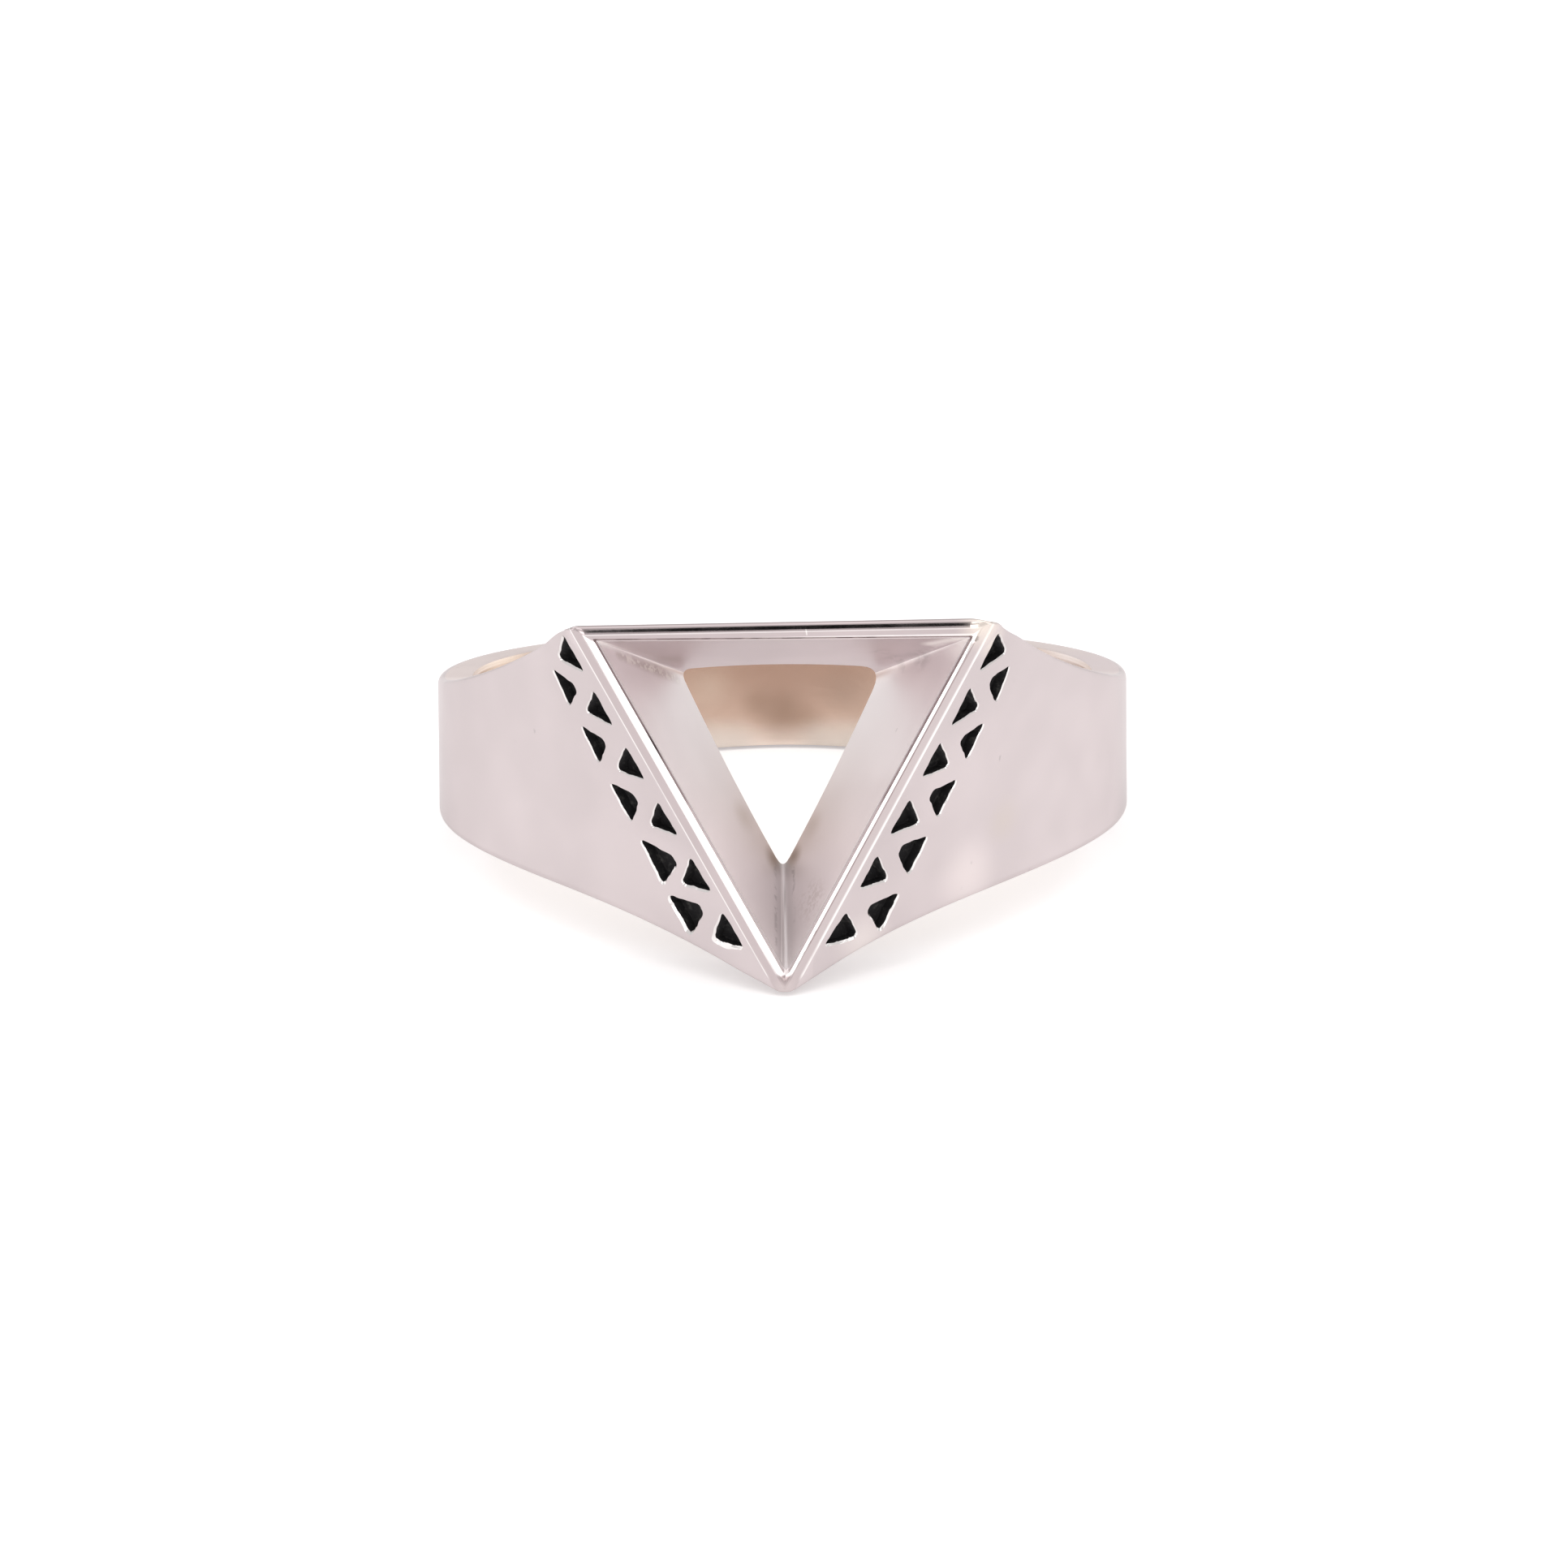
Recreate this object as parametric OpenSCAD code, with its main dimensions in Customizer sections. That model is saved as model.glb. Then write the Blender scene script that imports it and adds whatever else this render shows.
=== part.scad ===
// Triangle ring: one casting, a plain band that swells into a head with a flat triangular
// face. The face is an open funnel that ends in a window on the finger hole, and a double
// row of small triangular recesses runs beside each of its two long edges.
//
// The ring is shaped upright round its finger hole: X across the finger, Y from the face
// to the back of the band, Z along the finger. It is then laid on its side the way it
// rests on a table, on the point of the head and on two spots under the back.

/* [Finger hole] */
// Diameter of the finger hole
hole_d = 18.2; // [17:0.1:20]

/* [Band] */
// Thickness of the band at its sides and back
wall = 1.15; // [1:0.05:1.5]
// Height of the band at its sides
side_h = 4.12; // [3.6:0.02:4.4]
// Height of the band at its back
back_h = 3.44; // [3.2:0.02:3.6]
// Width of the shallow arch filed under the back
arch_w = 6.6; // [6:0.1:7]
// Depth of that arch
arch_depth = 0.11; // [0.08:0.01:0.35]

/* [Head] */
// Distance from the finger hole forward to the flat face
face_depth = 2.9; // [2.6:0.1:3.3]
// Height of the head's top edge above the middle of the band
head_top = 5.55; // [5.2:0.05:5.8]
// Depth of the head's point below the middle of the band
tip_drop = 5.41; // [5:0.01:5.5]
// Width of the blunt end of that point
tip_w = 0.35; // [0.3:0.01:0.5]
// Angle between each long edge of the face and the vertical
edge_angle = 28.7; // [27:0.1:30]

/* [Rim and funnel] */
// Width of the rim round the funnel
rim_w = 0.465; // [0.4:0.005:0.55]
// Width of the rim's outer facet, which slopes back
facet_w = 0.285; // [0.2:0.005:0.35]
// How far that facet slopes back
facet_drop = 0.1; // [0.06:0.01:0.15]
// How far the two long walls lean in on their way to the finger hole
side_lean = 1.29; // [1.1:0.01:1.4]
// How far the top wall leans down on its way to the finger hole
top_lean = 1.29; // [1.1:0.01:1.35]

/* [Recesses] */
// Distance from one recess of a row to the next
pitch = 1.845; // [1.8:0.005:1.9]
// Length of a recess along the edge of the face
recess_l = 1.1; // [0.9:0.01:1.15]
// Width of a recess across the shoulder
recess_w = 0.96; // [0.8:0.01:1]
// Depth of a recess
recess_depth = 0.4; // [0.3:0.01:0.45]

/* [Hidden] */

// Radii of the finger hole and of the band
hole_r = hole_d / 2;
band_r = hole_r + wall;

// Depths of the flat face and of the ridge that bounds it
face_y = -hole_r - face_depth;
ridge_y = face_y + facet_drop;

// Height where the two long ridges would meet, and half their spacing at the top
apex_z = -tip_drop - tip_w / 2 / tan(edge_angle);
top_half = (head_top - apex_z) * tan(edge_angle);

// Power of the curve of the upper edge, seen from the side
top_power = 1.59;
// The lower edge is a gentle curve plus a short steep one that makes the point
low_power = 1.76;
point_power = 10;
point_share = 0.38;

// Shape of the shoulder, seen along the finger, at three levels of the face.
// Columns: angle at which it leaves the ridge, pull at the ridge, pull at the band.
shoulder_low = [33, 0.80, 0.94];
shoulder_mid = [47, 0.74, 0.86];
shoulder_top = [57, 0.58, 0.62];

// Mesh of the head: sections from the ridge to the sides, and rows from edge to edge
sections = 26;
rows = 15;
section_crowding = 1.5;
bisections = 20;

// How far a cut starts outside the metal
clear = 1;
// Distance over which the shoulder's slope is measured
probe = 0.01;
// Sides of a round shape
$fn = 96;

// The outer row of recesses starts half a pitch below the inner row
inner_count = 6;
outer_count = 5;
inner_first = 11.9;
outer_first = inner_first - pitch / 2 + 0.04;
// Distance of each row's straight side from the ridge, at the apex and per unit of length
inner_base = 0.3;
outer_base = 1.92;
base_spread = 0.026;

// Attitude at rest: the point and the two ends of the arch touch the table
rest_y = sqrt(band_r * band_r - arch_w * arch_w / 4);
rest_z = -side_h / 2 + (side_h - back_h) / 2 * rest_y / band_r;
lean = atan((rest_z + tip_drop) / (rest_y - ridge_y));
floor_z = -ridge_y * sin(lean) - tip_drop * cos(lean);
front_reach = face_y * cos(lean) + (facet_w - tip_drop) * sin(lean);
back_reach = band_r * cos(lean) + back_h / 2 * sin(lean);
middle_y = (front_reach + back_reach) / 2;

// Curve through three values, at 0, a half and 1
function through(low, mid, high, s) =
    low * (1 - s) * (1 - 2 * s) + mid * 4 * s * (1 - s) + high * s * (2 * s - 1);

// Cubic curve with end points a and d and handles b and c
function cubic(a, b, c, d, t) =
    a * pow(1 - t, 3) + b * 3 * t * pow(1 - t, 2) + c * 3 * t * t * (1 - t) + d * t * t * t;

// Share of the way from the side of the band to the ridge
function forward(y) = max(0, min(1, y / ridge_y));

// Heights of the upper and lower edge at a depth y
function upper_edge(y) = side_h / 2 + (head_top - side_h / 2) * pow(forward(y), top_power);
function lower_edge(y) =
    -side_h / 2 - (tip_drop - side_h / 2)
        * ((1 - point_share) * pow(forward(y), low_power) + point_share * pow(forward(y), point_power));

// Half the width of the face at a height, a given distance inside its ridge
function face_half(z, inset = 0) = (z - apex_z - inset / sin(edge_angle)) * tan(edge_angle);

// The four points of the shoulder's curve at a height, as seen along the finger
function shoulder_curve(z) =
    let (
        half = face_half(z),
        form = through(shoulder_low, shoulder_mid, shoulder_top, half / top_half),
        reach = (band_r - half) / cos(form[0]),
        corner_y = ridge_y + reach * sin(form[0])
    )
    [
        [half, ridge_y],
        [half, ridge_y] + form[1] * reach * [cos(form[0]), sin(form[0])],
        [band_r, form[2] * corner_y],
        [band_r, 0]
    ];

// Half the width of the head at a depth y, found by halving the stretch of curve around it
function curve_x(c, y, low = 0, high = 1, steps = bisections) =
    let (t = (low + high) / 2)
    steps == 0 ? cubic(c[0][0], c[1][0], c[2][0], c[3][0], t)
    : cubic(c[0][1], c[1][1], c[2][1], c[3][1], t) < y ? curve_x(c, y, t, high, steps - 1)
    : curve_x(c, y, low, t, steps - 1);
function skin_x(y, z) =
    y <= ridge_y ? face_half(z)
    : y >= 0 ? band_r
    : curve_x(shoulder_curve(z), y);

// One section across the head: up its right side, then down its left
function section(y, inset) =
    let (
        low = lower_edge(y) + inset,
        high = upper_edge(y) - inset,
        right = [for (j = [0:rows])
            let (z = low + (high - low) * j / rows)
            [inset > 0 ? face_half(z, inset) : skin_x(y, z), y, z]]
    )
    concat(right, [for (j = [rows:-1:0]) [-right[j][0], y, right[j][2]]]);

// The solid head, front face to the middle of the finger hole
module head() {
    rings = concat(
        [section(face_y, facet_w)],
        [for (i = [0:sections]) section(ridge_y * (1 - pow(i / sections, section_crowding)), 0)]
    );
    n = 2 * (rows + 1);
    last = len(rings) - 1;
    polyhedron(
        points = [for (ring = rings) each ring],
        faces = concat(
            [for (j = [0:rows - 1]) [n - 1 - j, n - 2 - j, j + 1, j]],
            [for (i = [0:last - 1], j = [0:n - 1]) [i * n + j, i * n + (j + 1) % n, (i + 1) * n + (j + 1) % n]],
            [for (i = [0:last - 1], j = [0:n - 1]) [i * n + j, (i + 1) * n + (j + 1) % n, (i + 1) * n + j]],
            [for (j = [0:rows - 1]) [for (k = [j, j + 1, n - 2 - j, n - 1 - j]) last * n + k]]
        ),
        convexity = 4
    );
}

// The back half of the band, a little lower at its back than at its sides
module back_half() {
    slope = (side_h - back_h) / 2 / band_r;
    end_h = side_h / 2 - slope * 2 * band_r;
    intersection() {
        cylinder(r = band_r, h = 2 * side_h, center = true);
        rotate([90, 0, 90])
            linear_extrude(height = 3 * band_r, center = true)
                polygon([[0, -side_h / 2], [2 * band_r, -end_h], [2 * band_r, end_h], [0, side_h / 2]]);
    }
}

// The arch under the back: a long round bar across the lower edge, level along the floor
module arch() {
    half = arch_w / 2;
    bar_r = (half * half + arch_depth * arch_depth) / 2 / arch_depth;
    translate([0, rest_y, rest_z])
        rotate([90 + lean, 0, 0])
            translate([0, arch_depth - bar_r, 0])
                cylinder(r = bar_r, h = 4 * wall, center = true, $fn = 4 * $fn);
}

// Corners of the funnel at a depth y: its bottom, its top right and its top left
function funnel_corners(y) =
    let (
        share = (y - face_y) / face_depth,
        inset = rim_w + side_lean * share,
        bottom = apex_z + inset / sin(edge_angle),
        top = head_top - rim_w - top_lean * share,
        half = (top - bottom) * tan(edge_angle)
    )
    [[0, y, bottom], [half, y, top], [-half, y, top]];

// The funnel, from just in front of the face to inside the finger hole
module funnel() {
    front = face_y - clear / 2;
    back = -hole_r + 1.5 * clear;
    polyhedron(
        points = concat(funnel_corners(front), funnel_corners(back)),
        faces = [[0, 2, 1], [3, 4, 5], [0, 1, 4, 3], [1, 2, 5, 4], [2, 0, 3, 5]]
    );
}

// A recess on the right shoulder, cut level into it. along: distance from the apex up the
// ridge to its middle. base: distance of its straight side from the ridge. outward: 1 if
// its point faces away from the ridge, -1 if it faces the ridge.
module recess(along, base, outward) {
    across = base + outward * recess_w / 3;
    ridge_x = along * sin(edge_angle);
    ridge_z = apex_z + along * cos(edge_angle);
    leave = through(shoulder_low, shoulder_mid, shoulder_top, ridge_x / top_half)[0];
    fall = atan(tan(leave) / cos(edge_angle));
    y = ridge_y + across * sin(fall);
    z = ridge_z - across * cos(fall) * sin(edge_angle);
    slope_y = (skin_x(y + probe, z) - skin_x(y - probe, z)) / 2 / probe;
    slope_z = (skin_x(y, z + probe) - skin_x(y, z - probe)) / 2 / probe;
    normal = [1, -slope_y, -slope_z] / norm([1, -slope_y, -slope_z]);
    ridge = [sin(edge_angle), 0, cos(edge_angle)];
    flat = ridge - (ridge * normal) * normal;
    up = flat / norm(flat);
    out = cross(up, normal);
    level = [normal[0], normal[1], 0] / norm([normal[0], normal[1]]);
    corners = [for (c = [[-recess_l / 2, -1 / 3], [recess_l / 2, -1 / 3], [0, 2 / 3]])
        [skin_x(y, z), y, z] + up * c[0] + out * outward * recess_w * c[1]];
    flip = outward > 0;
    polyhedron(
        points = concat(
            [for (c = corners) c + level * clear],
            [for (c = corners) c - level * recess_depth]
        ),
        faces = [for (f = [[0, 1, 2], [5, 4, 3], [1, 0, 3, 4], [2, 1, 4, 5], [0, 2, 5, 3]])
            flip ? f : [for (k = [len(f) - 1:-1:0]) f[k]]]
    );
}

// The double row of recesses on the right shoulder
module recess_rows() {
    for (i = [0:inner_count - 1]) {
        along = inner_first - i * pitch;
        recess(along, inner_base + base_spread * along, 1);
    }
    for (i = [0:outer_count - 1]) {
        along = outer_first - i * pitch;
        recess(along, outer_base + base_spread * 1.2 * along, -1);
    }
}

// The finished ring, laid on its side
module ring() {
    color("silver")
        translate([0, -middle_y, -floor_z])
            rotate([-lean, 0, 0])
                difference() {
                    union() {
                        head();
                        back_half();
                    }
                    cylinder(r = hole_r, h = 4 * head_top, center = true);
                    arch();
                    funnel();
                    recess_rows();
                    mirror([1, 0, 0]) recess_rows();
                }
}

ring();
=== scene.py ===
import math
import bpy
import numpy as np
from mathutils import Matrix, Vector


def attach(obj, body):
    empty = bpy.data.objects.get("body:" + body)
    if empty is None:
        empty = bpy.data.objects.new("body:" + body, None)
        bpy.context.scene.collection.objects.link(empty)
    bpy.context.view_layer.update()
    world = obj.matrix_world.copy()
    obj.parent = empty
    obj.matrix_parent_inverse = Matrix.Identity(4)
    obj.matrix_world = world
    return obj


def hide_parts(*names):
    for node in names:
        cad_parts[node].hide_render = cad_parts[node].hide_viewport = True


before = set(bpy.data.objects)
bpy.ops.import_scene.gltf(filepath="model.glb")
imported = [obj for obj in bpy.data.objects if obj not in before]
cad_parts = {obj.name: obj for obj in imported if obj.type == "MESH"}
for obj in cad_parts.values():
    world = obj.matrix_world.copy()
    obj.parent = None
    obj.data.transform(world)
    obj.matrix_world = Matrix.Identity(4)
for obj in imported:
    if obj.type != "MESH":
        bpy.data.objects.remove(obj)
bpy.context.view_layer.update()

# Sizes in millimetres, in the upright ring: X runs across the finger, Y from the face to the back and Z along
# the finger
ringSizes = {
    "holeRadius": 9.1,
    "bandRadius": 10.25,
    "sideHeight": 4.12,
    "backHeight": 3.44,
    "archWidth": 6.6,
    "archDepth": 0.11,       # the arch under the back runs level with the floor
    "archFront": 8.0,        # and ends before this depth, in the finger hole
    "archBlend": 0.05,
    "facePlane": -12.0,
    "ridgeY": -11.9,         # the ridge round the face
    "headTop": 5.59,
    "tipDrop": 5.41,
    "tipWidth": 0.35,
    "edgeAngle": 28.7,       # long edges of the face against the vertical, degrees
    "topPower": 1.59,        # the top edge rises by this power of the way to the ridge
    "lowPowers": (1.76, 10),  # the bottom edge falls by these two
    "tipShare": 0.38,        # the second one's share
    # the shoulder's curve at the point, half way up and at the top: the angle at which it leaves the ridge,
    # and the pull of its two ends
    "leaveAngles": (33, 47, 57),
    "ridgePulls": (0.80, 0.74, 0.58),
    "bandPulls": (0.94, 0.86, 0.62),
    "facetReach": 0.285,     # how far the face is set in from its ridge
    "facetWidth": 0.248,     # outer facet of the rim
    "topShare": 0.89,        # the rim is wider along the top by the inverse of this
    "facetRise": 0.1,
    "innerTilt": 0.12,       # how much the inner facet dips towards the funnel, per millimetre
    "askew": 0.0096,         # slope of the head's top edge
    "topRounding": 0.22,     # edge between shoulder and top face
    "lowRounding": 0.24,
    "rimRounding": 0.11,     # the same edge along the top of the face
    "leftFlank": 0.09,       # how much lower the left edge hangs beside the point
    "holeRounding": 0.17,    # at the top edge of the finger hole
    "holeLowRounding": 0.02,  # and at its bottom edge
}
size = ringSizes
edge = math.radians(size["edgeAngle"])
apexZ = -size["tipDrop"] - size["tipWidth"] / 2 / math.tan(edge)
topHalf = (size["headTop"] - apexZ) * math.tan(edge)
sideHalf = size["sideHeight"] / 2
backDrop = (size["sideHeight"] - size["backHeight"]) / 2 / size["bandRadius"]

# The attitude at rest: the point of the head and the two ends of the arch touch the floor
restY = math.sqrt(size["bandRadius"] ** 2 - size["archWidth"] ** 2 / 4)
restZ = -sideHalf + backDrop * restY
lean = math.atan((restZ + size["tipDrop"]) / (restY - size["ridgeY"]))
floorZ = -size["ridgeY"] * math.sin(lean) - size["tipDrop"] * math.cos(lean)
frontReach = size["facePlane"] * math.cos(lean) + (size["facetReach"] - size["tipDrop"]) * math.sin(lean)
backReach = size["bandRadius"] * math.cos(lean) + size["backHeight"] / 2 * math.sin(lean)
layDown = (Matrix.Translation((0, -(frontReach + backReach) / 2000, -floorZ / 1000))
           @ Matrix.Rotation(-lean, 4, "X") @ Matrix.Scale(0.001, 4))


def through(low, mid, high, s):
    # parabola through three values, at 0, a half and 1
    return low * (1 - s) * (1 - 2 * s) + mid * 4 * s * (1 - s) + high * s * (2 * s - 1)


def smoothStep(x, start, end):
    s = np.clip((x - start) / (end - start), 0, 1)
    return s * s * (3 - 2 * s)


def bump(x, middle, reach):
    # a smooth hill, one high at its middle and level at its reach
    return np.cos(np.pi / 2 * np.clip((x - middle) / reach, -1, 1)) ** 2


def softMin(a, b, blend):
    # the smaller of the two, with the corner between them rounded over the blend
    h = np.clip(blend - np.abs(a - b), 0, None) / blend
    return np.minimum(a, b) - h * h * blend / 4


def upperEdge(y):
    # height of the top edge: it falls evenly towards the back, and rises by a power of the way to the ridge
    forward = np.clip(y / size["ridgeY"], 0, 1)
    rise = (size["headTop"] - sideHalf) * forward ** size["topPower"]
    return sideHalf + rise - backDrop * np.clip(y, 0, None)


def lowerEdge(x, y):
    # height of the bottom edge: a mix of two powers of the way to the ridge makes the point, and a parabola
    # over the floor makes the arch under the back
    forward = np.clip(y / size["ridgeY"], 0, 1)
    lowPower, tipPower = size["lowPowers"]
    share = (1 - size["tipShare"]) * forward ** lowPower + size["tipShare"] * forward ** tipPower
    plain = -sideHalf - (size["tipDrop"] - sideHalf) * share + backDrop * np.clip(y, 0, None)
    floor = restZ + math.tan(lean) * (y - restY)
    arch = floor + size["archDepth"] * (1 - (2 * x / size["archWidth"]) ** 2)
    return np.where(y > size["archFront"], -softMin(-plain, -arch, size["archBlend"]), plain)


def faceHalf(z):
    # half the width of the face's triangle at a height
    return (z - apexZ) * math.tan(edge)


def skinX(y, z):
    # half the width of the head at a depth and a height: at each height a cubic curve leaves the ridge at its
    # own angle and turns into the side of the band; its place along the curve is found by halving
    half = faceHalf(z)
    s = half / topHalf
    leave = np.radians(through(*size["leaveAngles"], s))
    ridgePull = through(*size["ridgePulls"], s)
    bandPull = through(*size["bandPulls"], s)
    reach = (size["bandRadius"] - half) / np.cos(leave)
    y1 = size["ridgeY"] + ridgePull * reach * np.sin(leave)
    y2 = bandPull * (size["ridgeY"] + reach * np.sin(leave))
    x1 = half + ridgePull * reach * np.cos(leave)
    low, high = np.zeros_like(half), np.ones_like(half)
    for step in range(26):
        t = (low + high) / 2
        here = size["ridgeY"] * (1 - t) ** 3 + y1 * 3 * t * (1 - t) ** 2 + y2 * 3 * t * t * (1 - t)
        low, high = np.where(here < y, t, low), np.where(here < y, high, t)
    x = half * (1 - t) ** 3 + x1 * 3 * t * (1 - t) ** 2 + size["bandRadius"] * (3 * t * t * (1 - t) + t ** 3)
    return np.where(y >= 0, size["bandRadius"], x)


def faceY(away, z, topLeg):
    # depth of the face at a distance from its outline: the outer facet rises, flat along the sides and as a
    # parabola along the top, and the inner one dips again; near the point of the head the two melt together
    melt = 0.010 + 0.09 * smoothStep(-z, 4.5, 5.1)
    part = np.clip(away / size["facetWidth"], 0, 1)
    outer = size["facetRise"] * (away / size["facetWidth"] * (1 - topLeg) + (1 - (1 - part) ** 2) * topLeg)
    inner = size["facetRise"] - size["innerTilt"] * np.clip(away - size["facetWidth"], 0, 0.5)
    return size["ridgeY"] - np.clip(softMin(outer, inner, melt), 0, None)


# Columns of the outside, from the middle of the back to the middle of the face. The rim's steps are distances
# from where the ridge's rounding ends, and the rest of the way to the middle is divided evenly
backColumns, shoulderColumns, ridgeColumns = 44, 84, 7
rimSteps = np.array([0.035, 0.07, 0.105, 0.14, 0.17, 0.2, 0.24, 0.29, 0.35, 0.42, 0.5])
centreSteps = np.linspace(0, 1, 11)[1:]
columnCount = backColumns + shoulderColumns + ridgeColumns + len(rimSteps) + len(centreSteps)


def ridgeRounding(z, side):
    # distance from the ridge at which its rounding starts, wider at the two top corners and at the point
    corner = 0.50 if side > 0 else 0.25
    return 0.055 + corner * smoothStep(z, 4.4, 5.55) + 0.26 * smoothStep(-z, 4.2, 5.4)


def outerSurface(h, side):
    # one side of the ring's outside; h holds each column's shares of the way from bottom edge to top edge.
    # Columns run round the back on a circle, forward along the shoulder's curve, over the rounded ridge on a
    # parabola, and across the face to its middle
    turn = np.linspace(0, np.pi / 2, backColumns, endpoint=False)[:, None]
    part = h[:backColumns]
    x = size["bandRadius"] * np.sin(turn) + 0 * part
    y = size["bandRadius"] * np.cos(turn) + 0 * part
    low = lowerEdge(x, y)
    back = np.stack([x, y, low + (upperEdge(y) - low) * part], -1)

    start, end = backColumns, backColumns + shoulderColumns
    part = h[start:end]
    along = 1 - (1 - np.linspace(0, 1, shoulderColumns)[:, None]) ** 1.35
    lowFront = lowerEdge(0, size["ridgeY"])
    nearZ = lowFront + (size["headTop"] - lowFront) * part
    y = (size["ridgeY"] + 0.8 * ridgeRounding(nearZ, side)) * along
    low = lowerEdge(0, y)
    z = low + (upperEdge(y) - low) * part
    shoulder = np.stack([skinX(y, z), y, z], -1)

    part = h[end:]
    z = lowFront + (size["headTop"] - lowFront) * part
    middle = np.clip(faceHalf(z) * math.cos(edge), 0.01, None)      # from the ridge to the middle of the face
    steps = np.concatenate([np.zeros(ridgeColumns), rimSteps, rimSteps[-1] + 0 * centreSteps])[:, None]
    shrink = np.clip(0.7 * middle / (rimSteps[-1] + 0.3), None, 1)
    away = (ridgeRounding(z, side) + steps) * shrink
    toMiddle = np.concatenate([np.zeros(ridgeColumns + len(rimSteps)), centreSteps])[:, None]
    away = away + (middle - away) * toMiddle
    fromTop = (size["headTop"] - z) * size["topShare"]
    topLeg = smoothStep(away - fromTop, -0.02, 0.15)
    y = faceY(softMin(softMin(away, fromTop, 0.03), z - lowFront + 0.05, 0.06), z, topLeg)
    front = np.stack([faceHalf(z) - away / math.cos(edge), y, z], -1)
    skinEnd = shoulder[-1:] + 0 * front[:1]
    t = (np.arange(1, ridgeColumns + 1) / (ridgeColumns + 1))[:, None, None]
    zRidge = z[:ridgeColumns]
    corner = np.stack([faceHalf(zRidge), np.full_like(zRidge, size["ridgeY"]), zRidge], -1)
    front[:ridgeColumns] = (1 - t) ** 2 * skinEnd + 2 * t * (1 - t) * corner + t * t * front[:ridgeColumns]
    surface = np.concatenate([back, shoulder, front], 0)
    surface[..., 0] *= side
    return surface


def ringSide(side):
    # the closed outline of each column: outside, top face, finger hole and bottom face in straight stretches,
    # joined by parabolic roundings whose corner is the sharp edge
    one = np.ones((columnCount, 1))
    topCorner, lowCorner = outerSurface(one, side)[:, 0], outerSurface(0 * one, side)[:, 0]
    faceStart = backColumns + shoulderColumns
    isFace = smoothStep(np.arange(columnCount), faceStart - 6, faceStart + 6)
    tall = topCorner[:, 2] - lowCorner[:, 2]
    topRound = size["topRounding"] + (size["rimRounding"] - size["topRounding"]) * isFace
    lowRound = size["lowRounding"] * (1 + 0.15 * isFace)

    def holePoint(share):
        # the finger hole's wall: the angle and the height both change evenly from top edge to bottom edge
        topTurn = np.arctan2(topCorner[:, 0], topCorner[:, 1])
        lowTurn = np.arctan2(lowCorner[:, 0], lowCorner[:, 1])
        topTurn[-1] = lowTurn[-1] = np.pi
        r = size["holeRadius"]
        zTop = upperEdge(r * np.cos(topTurn))
        zLow = lowerEdge(r * np.sin(lowTurn), r * np.cos(lowTurn))
        turn = topTurn[:, None] + (lowTurn - topTurn)[:, None] * share
        z = zTop[:, None] + (zLow - zTop)[:, None] * share
        return np.stack([r * np.sin(turn), r * np.cos(turn), z], -1)

    holeTop, holeLow = holePoint(0 * one)[:, 0], holePoint(one)[:, 0]
    topWide = np.linalg.norm(topCorner - holeTop, axis=1)
    lowWide = np.linalg.norm(lowCorner - holeLow, axis=1)
    holeTall = holeTop[:, 2] - holeLow[:, 2]

    def endFace(start, end, share, height):
        # a top or bottom face: straight from start to end seen along the finger, at the edge's own height
        xy = start[:, None, :2] * (1 - share[..., None]) + end[:, None, :2] * share[..., None]
        offStart = start[:, 2] - height(*start[:, :2].T)
        offEnd = end[:, 2] - height(*end[:, :2].T)
        z = height(xy[..., 0], xy[..., 1]) + offStart[:, None] * (1 - share) + offEnd[:, None] * share
        return np.concatenate([xy, z[..., None]], -1)

    def stretch(first, last, rows):
        # shares between a first and a last one in each column
        return first[:, None] + (last - first)[:, None] * rows

    even = np.linspace(0, 1, 5)
    rows = (1 - np.cos(np.pi * np.linspace(0, 1, 88))) / 2
    holeRound, holeLowRound = size["holeRounding"], size["holeLowRounding"]
    outside = outerSurface(stretch(lowRound / tall, 1 - topRound / tall, rows), side)
    topShares = stretch(topRound / topWide, 1 - holeRound / topWide, even)
    topFace = endFace(topCorner, holeTop, topShares, lambda x, y: upperEdge(y))
    hole = holePoint(stretch(holeRound / holeTall, 1 - holeLowRound / holeTall, np.linspace(0, 1, 22)))
    lowShares = stretch(holeLowRound / lowWide, 1 - lowRound / lowWide, even)
    lowFace = endFace(holeLow, lowCorner, lowShares, lowerEdge)

    def rounding(before, corner, after):
        # five rows on the parabola from one stretch to the next
        t = (np.arange(1, 6) / 6)[None, :, None]
        return (1 - t) ** 2 * before[:, -1:] + 2 * t * (1 - t) * corner[:, None] + t * t * after[:, :1]

    rowsOf = [outside, rounding(outside, topCorner, topFace), topFace, rounding(topFace, holeTop, hole), hole,
              rounding(hole, holeLow, lowFace), lowFace, rounding(lowFace, lowCorner, outside)]
    return np.concatenate(rowsOf, 1), [block.shape[1] for block in rowsOf]


def meshFromGrid(name, points, materials, faceMaterial):
    # closes a grid of points both ways into a mesh
    columns, rows = points.shape[:2]
    i, j = np.meshgrid(np.arange(columns), np.arange(rows), indexing="ij")
    nextI, nextJ = (i + 1) % columns, (j + 1) % rows
    quads = np.stack([i * rows + j, nextI * rows + j, nextI * rows + nextJ, i * rows + nextJ], -1)
    return meshFromFaces(name, points.reshape(-1, 3), quads.reshape(-1, 4).tolist(), materials,
                         faceMaterial.reshape(-1))


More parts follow.
